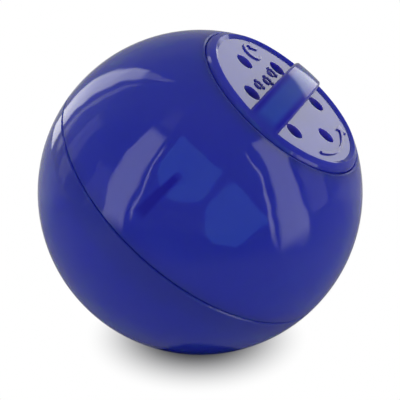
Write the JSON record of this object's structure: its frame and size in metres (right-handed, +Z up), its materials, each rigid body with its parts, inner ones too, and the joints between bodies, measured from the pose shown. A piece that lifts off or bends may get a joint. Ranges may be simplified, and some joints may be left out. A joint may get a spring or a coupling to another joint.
{
  "type": "treat dispensing ball",
  "caption": "Hollow pet toy ball in two half shells that turn to open its food windows, with a bayonet lid and bar handle.",
  "frame": {"origin": "centre of the ball", "axes": "+Z up as the ball lies in the picture, -Z to the point that it rests on; +Y along the lid's bar handle; the lid's axis tips 38.67 degrees from +Z towards +X"},
  "size_m": [0.076, 0.076, 0.076],
  "materials": {
    "shell_blue": "clear tinted, polished",
    "lid_blue": "clear tinted, polished",
    "shutter_blue": "clear tinted, polished",
    "seal_rubber": "soft, matt"
  },
  "bodies": {
    "base_half": {"lower_shell": "shell_blue"},
    "turning_half": {"upper_shell": "shell_blue", "shutter": "shutter_blue"},
    "seal": {"lid_seal": "seal_rubber"},
    "lid": {"lid": "lid_blue"}
  },
  "joints": [
    {"name": "halves_turn", "type": "hinge", "parent": "base_half", "child": "turning_half", "pos_m": [0, 0, 0], "axis": [0.6248, 0, 0.7808], "range_deg": [0, 62]},
    {"name": "lid_lift", "type": "slide", "parent": "turning_half", "child": "seal", "axis": [0.6248, 0, 0.7808], "range_m": [0, 0.03]},
    {"name": "lid_turn", "type": "hinge", "parent": "seal", "child": "lid", "pos_m": [0, 0, 0], "axis": [0.6248, 0, 0.7808], "range_deg": [0, 50]}
  ]
}
